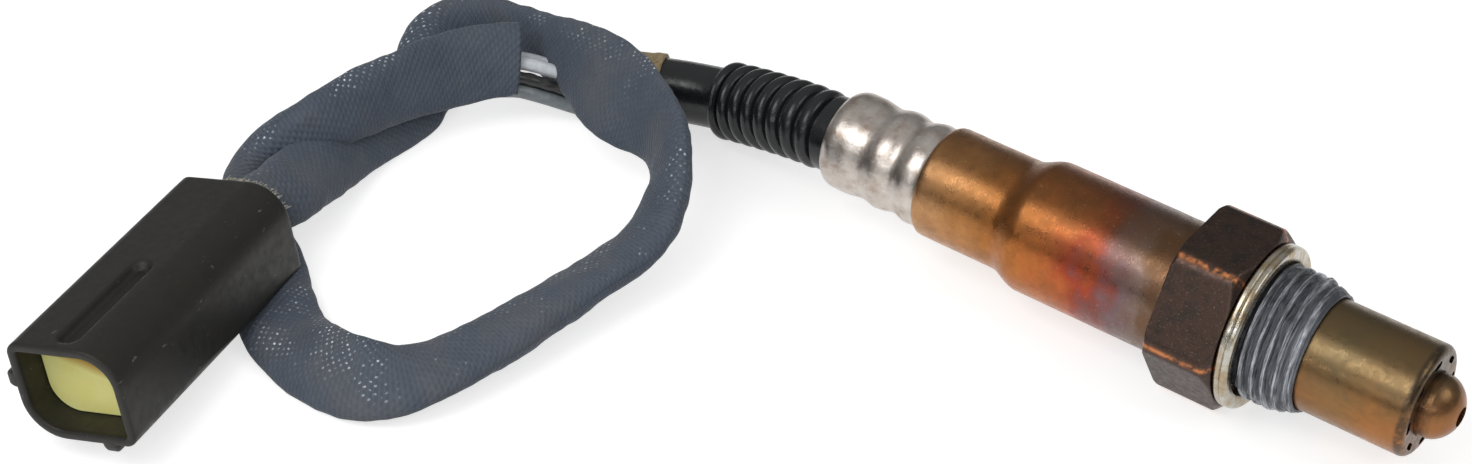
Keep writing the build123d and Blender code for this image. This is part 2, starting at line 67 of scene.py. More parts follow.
# studio
LAMPS = [  # name, place, the point it is aimed at, its size, watts
    ("key", (-160, -330, 420), (-60, -20, 0), (260, 260), 0.9),
    ("fill", (260, 60, 300), (-40, 0, 0), (220, 160), 0.24),
    ("spark", (30, -330, 290), (-60, -20, 0), (34, 34), 0.06),
    ("strip", (60, -360, 150), (-30, 0, 0), (420, 50), 0.26),
]
SKY_LEVELS = [(0.0, 0.30), (0.35, 0.42), (0.7, 0.75), (1.0, 0.95)]  # (height, brightness)
SKY_STRENGTH = 0.62
FLOOR_REACH = 3000
FLOOR_GREY = 0.6
FLOOR_GLOW = 0.65
FLOOR_GAP = 0.02  # under the part

# hexagon
HEX_FLATS = 22.0
HEX_CORNERS = 24.5
HEX_REAR = -11.1
HEX_FRONT = -2.0
HEX_FRONT_BEVEL = 1.1
HEX_REAR_BEVEL = 0.4
BEVEL_SLOPE = 1.35  # radius gained for each mm from the face
HIGHLIGHT_SPAN = 1.6  # the painted highlight's reach each side of a corner, in degrees about the axis

# rear sleeve, thread and gasket
SLEEVE_DIAMETER = 17.9
SLEEVE_SMALL_DIAMETER = 15.2
SHOULDER_FRONT = -32.6
SHOULDER_REAR = -36.8
SLEEVE_REAR = -48.6
THREAD_DIAMETER = 18.0
THREAD_ROOT = 16.4
THREAD_PITCH = 1.5
THREAD_RUN_IN = 0.15
THREAD_RUN_OUT = 0.7
THREAD_END = 5.2
LIP_DIAMETER = 15.8
LIP_FRONT = 7.4
GASKET_DIAMETER = 21.9
GASKET_BORE_RADIUS = 8.6

# (x, radius) round the section of the crushed gasket
GASKET = [
    (-1.95, 8.6), (-1.98, 10.4), (-1.9, 10.75), (-1.6, 10.93), (-1.25, 10.95), (-1.06, 10.86),
    (-1.0, 10.74), (-0.94, 10.86), (-0.7, 10.94), (-0.35, 10.86), (-0.1, 10.6), (-0.02, 10.3),
    (0.0, 9.9), (-0.04, 9.45), (-0.2, 9.12), (-0.5, 9.0), (-0.8, 8.9), (-1.2, 8.8), (-1.6, 8.7),
    (-1.95, 8.6),
]
# (x, diameter) along the crimped collar, to where it turns in on the grommet
COLLAR = [
    (-48.4, 14.0), (-48.9, 13.7), (-49.5, 13.75), (-50.2, 14.0), (-50.9, 14.0), (-51.7, 13.6),
    (-52.4, 13.1), (-53.0, 12.95), (-53.6, 13.15), (-54.3, 13.6), (-55.0, 13.85), (-55.8, 13.8),
    (-56.6, 13.35), (-57.3, 13.0), (-58.0, 12.95), (-58.8, 13.2), (-59.6, 13.5), (-60.4, 13.65),
    (-61.6, 13.72), (-62.4, 13.7), (-63.0, 13.4), (-63.5, 12.9), (-63.85, 12.3), (-64.0, 11.8),
    (-63.9, 11.2), (-63.4, 10.7),
]

# harness: a point of its route, the width it is flattened to, and how far that width is turned
# out of the plane that faces the camera
ROUND = 7.0
ROUTE = [
    (-43.1, 0.0, 0.0, ROUND, 0),
    (-66.0, 0.0, 0.0, ROUND, 0),
    (-77.5, 1.8, -3.0, ROUND, 0),
    (-86.0, 3.0, -5.6, ROUND, 0),
    (-94.5, 0.4, -6.0, ROUND, 0),
    (-102.5, -4.4, -6.0, ROUND, 0),
    (-107.6, -7.6, -4.0, 9.0, 0),
    (-112.2, -11.6, -1.8, 10.6, 0),
    (-117.0, -19.4, -1.8, 10.4, 12),
    (-119.4, -26.2, -1.8, 9.8, 20),
    (-120.9, -35.8, -1.0, 9.0, 10),
    (-124.0, -43.1, -2.6, 8.0, 60),
    (-126.6, -48.1, -6.4, 7.6, 36),
    (-123.6, -52.2, -8.6, 8.4, 26),
    (-119.2, -55.4, -9.3, 9.0, 30),
    (-113.8, -59.4, -9.5, 10.2, 15),
    (-107.8, -64.6, -9.5, 10.8, 14),
    (-101.4, -68.4, -9.2, 10.8, 30),
    (-94.6, -70.4, -8.0, 10.2, 12),
    (-88.0, -70.6, -7.0, 10.6, 10),
    (-83.0, -67.2, -6.9, 9.8, 35),
    (-80.6, -61.4, -6.9, 9.2, 46),
    (-79.0, -53.8, -6.8, 8.8, 54),
    (-77.6, -46.2, -6.6, 8.8, 60),
    (-76.6, -37.8, -6.2, 9.4, 66),
    (-74.2, -28.4, -4.6, 9.6, 64),
    (-77.4, -19.8, -0.8, 9.6, 68),
    (-83.6, -14.1, 0.8, 11.0, 46),
    (-92.6, -12.2, 0.8, 13.2, 0),
    (-101.6, -7.9, -0.8, 11.6, 18),
    (-110.4, -4.2, -3.6, 9.6, 34),
    (-118.2, -2.2, -6.0, 9.2, 40),
    (-125.2, -1.4, -7.4, 9.0, 40),
    (-129.2, -5.4, -7.6, 9.0, 20),
    (-127.8, -11.4, -7.8, 9.0, 10),
    (-123.4, -16.4, -8.0, 9.4, 10),
    (-121.0, -22.6, -8.0, 9.6, 10),
    (-120.8, -29.6, -7.4, 9.8, 10),
    (-120.4, -37.4, -6.2, 9.8, 8),
    (-118.6, -47.0, -4.6, 9.4, 4),
    (-116.9, -51.7, -3.2, 9.4, 0),
    (-117.8, -56.2, -3.0, 8.4, 0),
    (-117.4, -59.7, -3.8, ROUND, 0),
    (-115.0, -69.2, -3.0, ROUND, 0),
]
BOOT_START_X = -49.8
BOOT_END_X = -98.6
SLEEVE_START_X = -111.2  # where the woven sleeve begins, on its first strand
SLEEVE_END = 9.0  # inside the plug, before the harness's end
FLATTEST = 2.9
NEARLY_ROUND = 7.4  # the width up to which the wires stay in a square
FABRIC_WALL = 0.45
KNOT_STEP = 0.55  # between the knots of the weave
PAINTED_GLINT_SIDE = Vector((-0.134, -0.194, 1.018))  # the side on which the fabric's painted glints lie
WIRE_DIAMETER = 1.9
WIRE_END = 1.0  # before the harness's end

# boot
BOOT_DIAMETER = 8.6
RIB_DIAMETER = 10.9
RIB_WIDTH = 1.6
RIB_FOOT = 0.25  # each side of a rib
RIB_PITCH = 2.45
RIB_COUNT = 8
FIRST_RIB = 3.2
NECK_DIAMETER = 10.4
BAND_GRIP = 4.8  # over the boot
BAND_OVERHANG = 1.0  # past the boot's end
BAND_DIAMETER = 9.6

# plug
PLUG_YAW = 104.2
PLUG_PITCH = -4.5
PLUG_ROLL = 11.9
PLUG_LENGTH = 40.6
PLUG_WIDTH = 15.4
PLUG_HEIGHT = 13.3
PLUG_WALL = 1.2
PLUG_LARGE_RADIUS = 5.2
PLUG_SMALL_RADIUS = 1.6
PLUG_FRONT_CORNER = (-113.35, -100.72)
MOUTH_DEPTH = 12.0
GROOVE_WIDTH = 3.0
GROOVE_DEPTH = 1.0
GROOVE_START = 1.6  # from the plug's front
GROOVE_END = 20.0
GROOVE_EDGE = 0.6
NUB_WIDTH = 2.5
NUB_LENGTH = 3.0
BOTTOM_NUB_PLACE = 11.4  # from the plug's left side
LEFT_NUB_PLACE = 8.0  # from its underside
PAINTED_SHADOW_FROM = 0.6  # where the painted shadow on the yellow retainer begins, above the middle of the plug's mouth
PAINTED_SHADOW_FADE = 1.4

upward = Vector((0, 0, 1))


# --- small functions ---


def clamped(value):
    return max(0.0, min(1.0, value))


def between(first, second, share):
    return first + (second - first) * share


def eased(share):
    return share * share * (3 - 2 * share)


def powered(value, power):
    """The value's size raised to a power, with its sign kept."""
    return copysign(abs(value) ** power, value)


def full_turn(count):
    """Angles in equal steps round a circle."""
    return [2 * pi * step / count for step in range(count)]


def soft_min(a, b, blend):
    share = clamped(0.5 + 0.5 * (b - a) / blend)
    return b * (1 - share) + a * share - blend * share * (1 - share)


def wobble(x, y):
    """Three uneven numbers between -1 and 1, always the same ones for the same place."""
    return Vector([noise.noise(Vector((x, y, z))) for z in (7.7, 25.3, 49.6)])


# --- node helpers ---

CLOUD = (0.3, 0.7)  # where most values of a noise lie


def rgb(red, green, blue):
    """A colour written in 0-255 display values, as the renderer's linear one."""
    linear = [
        ((c / 255 + 0.055) / 1.055) ** 2.4 if c > 10 else c / 255 / 12.92
        for c in (red, green, blue)
    ]
    return linear + [1.0]


class Tree:
    """The nodes of a material or a world, and short ways to add to them."""

    def __init__(self, owner):
        owner.use_nodes = True
        self.nodes = owner.node_tree.nodes
        self.links = owner.node_tree.links

    def node(self, kind, **settings):
        node = self.nodes.new(kind)
        for key, value in settings.items():
            setattr(node, key, value)
        return node

    def put(self, socket, value):
        if isinstance(value, bpy.types.NodeSocket):
            self.links.new(value, socket)
        else:
            socket.default_value = value

    def maths(self, operation, *values, clamp=False):
        node = self.node("ShaderNodeMath", operation=operation, use_clamp=clamp)
        for socket, value in zip(node.inputs, values):
            self.put(socket, value)
        return node.outputs[0]

    def times(self, first, second):
        return self.maths("MULTIPLY", first, second)

    def plus(self, first, second):
        return self.maths("ADD", first, second)

    def part(self, vector, letter):
        node = self.node("ShaderNodeSeparateXYZ")
        self.put(node.inputs[0], vector)
        return node.outputs[letter]

    def ramp(self, factor, stops):
        node = self.node("ShaderNodeValToRGB")
        self.put(node.inputs[0], factor)
        elements = node.color_ramp.elements
        while len(elements) < len(stops):
            elements.new(1.0)
        for element, (place, colour) in zip(elements, stops):
            element.position = place
            element.color = colour
        return node.outputs[0]


class Shader(Tree):
    """A material with a Principled shader. Its patterns lie in the part's own millimetres."""

    def __init__(self, name, **inputs):
        self.material = bpy.data.materials.new(name)
        super().__init__(self.material)
        self.surface = self.nodes["Principled BSDF"]
        for socket, value in inputs.items():
            self.surface.inputs[socket.replace("_", " ")].default_value = value
        scale = self.node("ShaderNodeVectorMath", operation="SCALE")
        self.put(scale.inputs[0], self.node("ShaderNodeTexCoord").outputs["Object"])
        scale.inputs["Scale"].default_value = 1 / MM
        self.place = scale.outputs[0]

    def set(self, socket, value):
        self.put(self.surface.inputs[socket], value)

    def axis(self, letter):
        return self.part(self.place, letter)

    def stretched(self, x, y, z):
        node = self.node("ShaderNodeVectorMath", operation="MULTIPLY")
        self.put(node.inputs[0], self.place)
        node.inputs[1].default_value = (x, y, z)
        return node.outputs[0]

    def along(self, vector, direction):
        """How far the vector reaches in a direction."""
        node = self.node("ShaderNodeVectorMath", operation="DOT_PRODUCT")
        self.put(node.inputs[0], vector)
        node.inputs[1].default_value = direction
        return node.outputs["Value"]

    def noise(self, scale, detail=3.0, roughness=0.55, vector=None):
        node = self.node("ShaderNodeTexNoise")
        self.put(node.inputs["Vector"], self.place if vector is None else vector)
        node.inputs["Scale"].default_value = scale
        node.inputs["Detail"].default_value = detail
        node.inputs["Roughness"].default_value = roughness
        return node.outputs["Fac"]

    def spread(self, factor, low, high, start=0.0, end=1.0):
        """A value that goes from start to end while the factor goes from low to high."""
        node = self.node("ShaderNodeMapRange")
        self.put(node.inputs["Value"], factor)
        for socket, value in zip(("From Min", "From Max", "To Min", "To Max"), (low, high, start, end)):
            node.inputs[socket].default_value = value
        return node.outputs[0]

    def uneven(self, letter, reach, scale, detail):
        """A coordinate whose level lines wander."""
        return self.plus(self.axis(letter), self.times(self.noise(scale, detail), reach))

    def mix(self, factor, first, second):
        node = self.node("ShaderNodeMix", data_type="RGBA")
        factor_socket, first_colour, second_colour, mixed_colour = 0, 6, 7, 2
        self.put(node.inputs[factor_socket], factor)
        self.put(node.inputs[first_colour], first)
        self.put(node.inputs[second_colour], second)
        return node.outputs[mixed_colour]

    def stain(self, colour, where, strength, other):
        """The colour, with another one laid over it at some strength."""
        return self.mix(self.times(where, strength), colour, other)

    def attribute(self, name):
        return self.node("ShaderNodeAttribute", attribute_name=name).outputs["Fac"]

    def paint(self, colour, factor, smooth, rough, span=CLOUD):
        """Sets the colour, and a roughness from smooth to rough over the factor's span."""
        self.set("Base Color", colour)
        self.set("Roughness", self.spread(factor, *span, smooth, rough))

    def bump(self, height, depth, strength, before=None):
        node = self.node("ShaderNodeBump")
        self.put(node.inputs["Height"], height)
        node.inputs["Distance"].default_value = depth * MM
        node.inputs["Strength"].default_value = strength
        if before is not None:
            self.put(node.inputs["Normal"], before)
        self.set("Normal", node.outputs[0])
        return node.outputs[0]


# --- materials ---


def heat_tinted_sleeve():
    """Straw and brown at the rear, and red and violet towards the hexagon, with painted shade on top."""
    shader = Shader("heat_tinted_sleeve", Metallic=1.0)
    tint_rear, tint_front = -49.0, -13.0
    waves = shader.times(shader.maths("SUBTRACT", shader.noise(0.16, 4.0), 0.5), 15.0)
    heated = shader.plus(shader.plus(shader.axis("X"), waves), shader.times(shader.axis("Z"), 0.10))
    colour = shader.ramp(shader.spread(heated, tint_rear, tint_front), [
        (0.0, rgb(182, 138, 96)), (0.22, rgb(176, 124, 76)), (0.34, rgb(168, 110, 60)),
        (0.52, rgb(176, 108, 56)), (0.66, rgb(176, 96, 54)), (0.74, rgb(160, 70, 48)),
        (0.79, rgb(132, 76, 72)), (0.86, rgb(118, 96, 98)), (0.94, rgb(124, 106, 98)),
        (1.0, rgb(108, 84, 66)),
    ])
    # painted shade: darker brown towards the top
    upper = shader.spread(shader.uneven("Z", 6.0, 0.22, 4.0), 6.5, 12.5, 0.0, 0.7)
    colour = shader.mix(upper, colour, rgb(98, 72, 48))
    stains = shader.spread(shader.noise(0.35, 6.0, 0.65), 0.42, 0.70)
    colour = shader.stain(colour, stains, 0.45, rgb(104, 70, 46))
    grains = shader.spread(shader.noise(3.2, 2.0), 0.66, 0.72)
    colour = shader.stain(colour, grains, 0.25, rgb(206, 172, 136))
    shader.paint(colour, shader.noise(0.9, 5.0), 0.22, 0.40)
    lines = shader.noise(2.0, 4.0, 0.6, shader.stretched(6.0, 0.25, 0.25))
    shader.bump(shader.plus(lines, shader.times(shader.noise(5.0, 3.0), 0.7)), 0.05, 0.55)
    return shader.material


def collar_steel():
    shader = Shader("collar_steel", Metallic=1.0)
    colour = shader.ramp(shader.noise(0.5, 4.0), [
        (0.3, rgb(204, 197, 190)), (0.55, rgb(188, 178, 170)), (0.75, rgb(160, 142, 128)),
    ])
    # bright streaks along the collar: partly scratches, partly painted highlight
    streaks = shader.noise(1.6, 5.0, 0.7, shader.stretched(0.5, 2.2, 2.2))
    scratches_and_highlights = shader.spread(streaks, 0.58, 0.66)
    colour = shader.stain(colour, scratches_and_highlights, 0.6, rgb(226, 218, 212))
    shader.paint(colour, scratches_and_highlights, 0.30, 0.44, (0.0, 1.0))
    shader.bump(shader.noise(2.6, 5.0, 0.65), 0.06, 0.5)
    return shader.material


def hexagon_steel():
    """Dark, with a painted coppery highlight along each corner."""
    shader = Shader("hexagon_steel", Metallic=1.0)
    colour = shader.ramp(shader.noise(0.35, 5.0, 0.6), [
        (0.3, rgb(62, 54, 50)), (0.5, rgb(78, 62, 56)), (0.7, rgb(58, 55, 51)),
    ])
    grains = shader.spread(shader.noise(4.5, 2.0), 0.62, 0.70)
    colour = shader.stain(colour, grains, 0.35, rgb(150, 128, 112))
    # painted highlight: coppery along the corners, in patches
    patches = shader.spread(shader.noise(1.1, 3.0), 0.35, 0.55)
    colour = shader.stain(colour, shader.attribute("painted_highlight"), patches, rgb(206, 132, 84))
    shader.paint(colour, shader.noise(1.5, 4.0), 0.32, 0.5)
    shader.bump(shader.noise(3.0, 5.0, 0.6), 0.05, 0.5)
    return shader.material


def thread_steel():
    shader = Shader("thread_steel", Metallic=0.85)
    # painted highlight: bright silvery streaks on the thread's crests, stronger where the smeared noise is
    # high
    streaks = shader.noise(0.9, 5.0, 0.7, shader.stretched(5.0, 0.25, 0.25))
    crest = shader.plus(shader.attribute("painted_highlight"), 0.25)
    painted_shine = shader.maths("MULTIPLY", shader.spread(streaks, 0.42, 0.66), crest, clamp=True)
    smeared = shader.spread(shader.noise(0.22, 3.0), 0.36, 0.56, 0.4, 1.0)
    colour = shader.stain(rgb(84, 86, 90), painted_shine, smeared, rgb(200, 204, 212))
    pits = shader.noise(0.7, 4.0, 0.6, shader.stretched(2.5, 0.6, 0.6))
    colour = shader.mix(shader.spread(pits, 0.60, 0.72, 0.0, 0.6), colour, rgb(52, 52, 54))
    shader.paint(colour, painted_shine, 0.55, 0.32, (0.0, 1.0))
    lines = shader.noise(2.2, 3.0, 0.6, shader.stretched(3.0, 0.12, 0.12))
    shader.bump(shader.noise(3.5, 4.0, 0.6), 0.06, 0.6, shader.bump(lines, 0.22, 0.9))
    return shader.material


def gasket_steel():
    shader = Shader("gasket_steel", Metallic=1.0)
    colour = shader.ramp(shader.noise(0.5, 4.0), [
        (0.3, rgb(190, 188, 182)), (0.5, rgb(178, 168, 150)), (0.62, rgb(164, 146, 118)),
        (0.75, rgb(146, 144, 140)),
    ])
    shader.paint(colour, shader.noise(2.0, 4.0), 0.18, 0.36)
    shader.bump(shader.noise(1.5, 3.0), 0.08, 0.35)
    return shader.material


def tube_steel():
    """Straw to brown, with painted shade on top and a darker ring on the end face round the nose."""
    shader = Shader("tube_steel", Metallic=1.0)
    tint_rear, tint_front, end_x, ring_radius = 6.0, 27.0, 20.6, 3.9
    waves = shader.times(shader.maths("SUBTRACT", shader.noise(0.3, 4.0), 0.5), 7.0)
    colour = shader.ramp(shader.spread(shader.plus(shader.axis("X"), waves), tint_rear, tint_front), [
        (0.0, rgb(140, 96, 60)), (0.3, rgb(140, 104, 66)), (0.55, rgb(160, 108, 62)),
        (0.75, rgb(152, 104, 64)), (1.0, rgb(140, 94, 62)),
    ])
    soot = shader.noise(0.3, 5.0, 0.6, shader.stretched(0.5, 1.0, 1.0))
    colour = shader.stain(colour, shader.spread(soot, 0.48, 0.72), 0.5, rgb(92, 78, 58))
    # painted shade: darker and olive towards the top
    upper = shader.spread(shader.uneven("Z", 4.0, 0.25, 3.0), 2.0, 7.0, 0.0, 0.8)
    colour = shader.mix(upper, colour, rgb(100, 90, 66))
    # darker in patches on the end face, outside the nose's radius
    patches = shader.spread(shader.noise(0.8, 3.0), 0.3, 0.5)
    end_face = shader.times(shader.spread(shader.axis("X"), end_x, end_x + 0.4), patches)
    from_axis = shader.node("ShaderNodeVectorMath", operation="LENGTH")
    shader.put(from_axis.inputs[0], shader.stretched(0.0, 1.0, 1.0))
    ring = shader.times(end_face, shader.spread(from_axis.outputs["Value"], ring_radius, ring_radius + 0.4))
    colour = shader.stain(colour, ring, 0.7, rgb(62, 56, 50))
    shader.paint(colour, shader.noise(1.0, 4.0), 0.24, 0.42)
    shader.bump(shader.noise(2.0, 4.0, 0.6, shader.stretched(5.0, 0.3, 0.3)), 0.04, 0.5)
    return shader.material


def boot_rubber():
    shader = Shader("boot_rubber", Specular_IOR_Level=0.42)
    dust = shader.spread(shader.noise(1.2, 5.0, 0.65), 0.60, 0.75)
    colour = shader.stain(rgb(24, 26, 28), dust, 0.12, rgb(66, 69, 72))
    shader.paint(colour, shader.noise(1.0, 4.0), 0.2, 0.32)
    shader.bump(shader.noise(1.4, 4.0), 0.08, 0.35)
    return shader.material


def tan_tape():
    shader = Shader("tan_tape")
    fibres = shader.noise(1.6, 5.0, 0.7, shader.stretched(3.0, 0.6, 0.6))
    colour = shader.ramp(fibres, [
        (0.3, rgb(104, 90, 62)), (0.5, rgb(152, 134, 98)), (0.72, rgb(186, 170, 132)),
    ])
    shader.paint(colour, fibres, 0.55, 0.8)
    shader.bump(fibres, 0.15, 0.8)
    return shader.material


def woven_fabric():
    """along and around are a point's distances on the sleeve, which its weave follows."""
    shader = Shader("woven_fabric", Sheen_Weight=0.15, Sheen_Roughness=0.4, Specular_IOR_Level=0.35)
    along, around = shader.attribute("along"), shader.attribute("around")
    knot_turn = pi / KNOT_STEP
    weave = shader.times(
        shader.maths("SINE", shader.times(along, knot_turn)),
        shader.maths("SINE", shader.times(around, knot_turn)),
    )
    picks = shader.maths("SINE", shader.times(along, 2 * knot_turn))
    colour = shader.ramp(shader.noise(0.09, 4.0), [
        (0.32, rgb(68, 77, 91)), (0.5, rgb(76, 85, 98)), (0.66, rgb(86, 91, 99)),
    ])
    worn = shader.spread(shader.noise(0.07, 3.0), 0.54, 0.70)
    colour = shader.stain(colour, worn, 0.32, rgb(112, 108, 104))
    mottle = shader.spread(shader.noise(0.8, 4.0, 0.7), 0.35, 0.70)
    colour = shader.stain(colour, mottle, 0.25, rgb(54, 60, 70))
    colour = shader.mix(shader.spread(picks, -1.0, 1.0, 0.0, 0.16), colour, rgb(118, 124, 134))
    colour = shader.stain(colour, shader.spread(weave, -0.45, -0.9), 0.16, rgb(52, 58, 68))
    # painted highlight: bright glints on the knots, in patches, where the fabric faces the glint side
    facing = shader.along(shader.node("ShaderNodeNewGeometry").outputs["Normal"], PAINTED_GLINT_SIDE.normalized())
    patches = shader.spread(shader.noise(0.13, 3.0), 0.49, 0.61)
    glint_patches = shader.times(patches, shader.spread(facing, 0.66, 0.92))
    chance = shader.spread(shader.noise(1.7, 2.0), 0.47, 0.60)
    painted_glints = shader.times(shader.times(shader.spread(weave, 0.45, 0.80), glint_patches), chance)
    colour = shader.mix(painted_glints, colour, rgb(222, 230, 240))
    shader.paint(colour, painted_glints, 0.72, 0.3, (0.0, 1.0))
    shader.bump(shader.noise(0.7, 5.0), 0.22, 0.35, shader.bump(weave, 0.10, 0.6))
    return shader.material


def wire_skin(name, colour, worn):
    shader = Shader(name, Coat_Weight=0.3, Coat_Roughness=0.2)
    cloud = shader.spread(shader.noise(1.0, 4.0), 0.35, 0.7)
    shader.paint(shader.mix(cloud, colour, worn), cloud, 0.34, 0.5, (0.0, 1.0))
    shader.bump(shader.noise(3.0, 3.0), 0.03, 0.4)
    return shader.material


def plug_plastic():
    shader = Shader("plug_plastic", Specular_IOR_Level=0.35)
    colour = shader.ramp(shader.noise(0.12, 4.0, 0.6), [
        (0.3, rgb(33, 32, 29)), (0.5, rgb(36, 34, 29)), (0.7, rgb(29, 29, 28)),
    ])
    dust = shader.spread(shader.noise(1.6, 6.0, 0.7), 0.62, 0.74)
    colour = shader.stain(colour, dust, 0.22, rgb(128, 126, 122))
    scuffs = shader.noise(0.9, 3.0, 0.5, shader.stretched(1.6, 0.4, 1.6))
    colour = shader.stain(colour, shader.spread(scuffs, 0.70, 0.74), 0.3, rgb(150, 152, 152))
    shader.paint(colour, shader.noise(0.8, 4.0), 0.38, 0.55)
    shader.bump(shader.noise(6.0, 3.0), 0.025, 0.5)
    return shader.material


def retainer_plastic():
    """Pale yellow, with a painted amber shadow of the mouth's top wall towards its top right corner."""
    shader = Shader("retainer_plastic", Subsurface_Weight=0.1, Subsurface_Scale=0.002)
    cloud = shader.noise(0.3, 3.0)
    colour = shader.ramp(cloud, [(0.3, rgb(248, 244, 164)), (0.7, rgb(242, 234, 140))])
    # painted shadow: amber towards the top right corner, shaded by the mouth's top wall
    to_shadowed_corner = to_top + to_right * 0.35
    start = to_shadowed_corner.dot(plug_point(0, 0, PLUG_LENGTH)) + PAINTED_SHADOW_FROM
    painted_shadow = shader.spread(shader.along(shader.place, to_shadowed_corner), start, start + PAINTED_SHADOW_FADE)
    shader.paint(shader.mix(painted_shadow, colour, rgb(196, 156, 52)), cloud, 0.4, 0.52)
    shader.bump(shader.noise(4.0, 3.0), 0.02, 0.4)
    return shader.material


def mottled(name, first, second, roughness, scale=1.0, detail=4.0, grain=None, **inputs):
    """A plain material between two colours. grain is its noise's scale and detail, and its depth."""
    shader = Shader(name, **inputs)
    cloud = shader.noise(scale, detail)
    shader.paint(shader.ramp(cloud, [(0.3, first), (0.7, second)]), cloud, *roughness)
    if grain:
        shader.bump(shader.noise(*grain[:2]), *grain[2:])
    return shader.material


# --- meshes ---


def add_mesh(name, points, faces, material, slot, values=None):
    """A piece of the part. values holds a number for each point, by name."""
    mesh = bpy.data.meshes.new(name)
    mesh.from_pydata([point * MM for point in points], [], faces)
    mesh.validate()
    mesh.shade_smooth()
    for key, numbers in (values or {}).items():
        mesh.attributes.new(key, "FLOAT", "POINT").data.foreach_set("value", numbers)
    mesh.materials.append(material)
    piece = bpy.data.objects.new(name, mesh)
    bpy.context.collection.objects.link(piece)
    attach(piece, "root")
    return piece


def tube_faces(rows, sides, first=0):
    """Faces that join each ring of points to the next. first is the first point's number."""
    faces = []
    for row in range(rows - 1):
        base = first + row * sides
        for side in range(sides):
            a, b = base + side, base + (side + 1) % sides
            faces.append((a, b, b + sides, a + sides))
    return faces


def make_piece(name, rows, material, slot, ends=(False, False), values=None):
    """A piece made of rings of points, joined ring to ring, with either end closed or not."""
    sides = len(rows[0])
    points = [Vector(point) for row in rows for point in row]
    faces = tube_faces(len(rows), sides)
    if ends[0]:
        faces.append(tuple(reversed(range(sides))))
    if ends[1]:
        faces.append(tuple(range(len(points) - sides, len(points))))
    return add_mesh(name, points, faces, material, slot, values)


def rounded(profile, radius, steps):
    """A line of (x, r) points with its inner corners rounded."""
    line = [profile[0]]
    for before, corner, after in zip(profile, profile[1:], profile[2:]):
        here = Vector(corner)
        back, ahead = Vector(before) - here, Vector(after) - here
        reach = min(radius, back.length * 0.45, ahead.length * 0.45)
        start, end = here + back.normalized() * reach, here + ahead.normalized() * reach
        for step in range(steps + 1):
            t = step / steps
            line.append(tuple((1 - t) ** 2 * start + 2 * t * (1 - t) * here + t * t * end))
    line.append(profile[-1])
    return line


def split(profile, longest):
    """The same line with no step longer than the given one."""
    line = [profile[0]]
    for (x0, r0), (x1, r1) in zip(profile, profile[1:]):
        parts = max(1, ceil(hypot(x1 - x0, r1 - r0) / longest))
        line += [(between(x0, x1, k / parts), between(r0, r1, k / parts)) for k in range(1, parts + 1)]
    return line


def turned(name, profile, material, slot, segments, shape, painted_highlight=None):
    """A piece turned about the sensor's axis. shape(x, r, angle) gives the radius there, and the last
    function, if given, the strength of a painted highlight at each point.
    """
    rows, worn = [], []
    for x, r in profile:
        row = []
        for angle in full_turn(segments):
            here = shape(x, r, angle)
            row.append((x, here * cos(angle), here * sin(angle)))
            # each point's painted highlight, for the material
            if painted_highlight:
                worn.append(painted_highlight(x, angle))
        rows.append(row)
    return make_piece(name, rows, material, slot, values={"painted_highlight": worn} if painted_highlight else None)


def from_flat(angle):
    """The turn from the middle of the hexagon's nearest flat. The part lies on a flat."""
    return (angle - pi / 2 + pi / 6) % (pi / 3) - pi / 6


def hexagon():
    outside = HEX_CORNERS / 2 + 0.25

    def shape(x, r, angle):
        if r < outside:
            return r
        front = HEX_CORNERS / 2 - HEX_FRONT_BEVEL + max(HEX_FRONT - x, 0) * BEVEL_SLOPE
        rear = HEX_CORNERS / 2 - HEX_REAR_BEVEL + max(x - HEX_REAR, 0) * BEVEL_SLOPE
        side = soft_min(HEX_FLATS / 2 / cos(from_flat(angle)), HEX_CORNERS / 2, 0.25)
        return soft_min(soft_min(side, front, 0.35), rear, 0.15)

    # The painted highlight along each corner, for the hexagon's material.
    def painted_highlight(x, angle):
        from_corner = pi / 6 - abs(from_flat(angle))
        return 0.9 * exp(-(from_corner / radians(HIGHLIGHT_SPAN)) ** 2)

    bore = SLEEVE_DIAMETER / 2 - 0.3
    steps_in = [0, 0.05, 0.15, 0.3, 0.5, 0.7, 0.9, 1.1, 1.3, 1.6, 2.2, 3.2, 4.4]
    profile = [(HEX_REAR + 0.6, bore), (HEX_REAR + 0.1, bore + 0.3), (HEX_REAR, bore + 0.6)]
    profile += [(HEX_REAR, r) for r in (9.6, 10.4, 10.9)]
    profile += [(HEX_REAR + step, outside) for step in steps_in]
    profile += [((HEX_REAR + HEX_FRONT) / 2, outside)]
    profile += [(HEX_FRONT - step, outside) for step in reversed(steps_in)]
    profile += [(HEX_FRONT, r) for r in (10.9, 10.0, 9.0, 8.2, 8.0)]
    return turned("hexagon", profile, hexagon_steel(), "steel_hexagon", 720, shape, painted_highlight)


def thread_envelope(x):
    """The radius that the thread's crests reach."""
    crest, root, lip = THREAD_DIAMETER / 2, THREAD_ROOT / 2, LIP_DIAMETER / 2
    if x < THREAD_RUN_IN:
        return between(root, crest, max(0, x / THREAD_RUN_IN))
    taper_start = THREAD_END - THREAD_RUN_OUT
    return between(crest, lip, clamped((x - taper_start) / (LIP_FRONT - taper_start)))


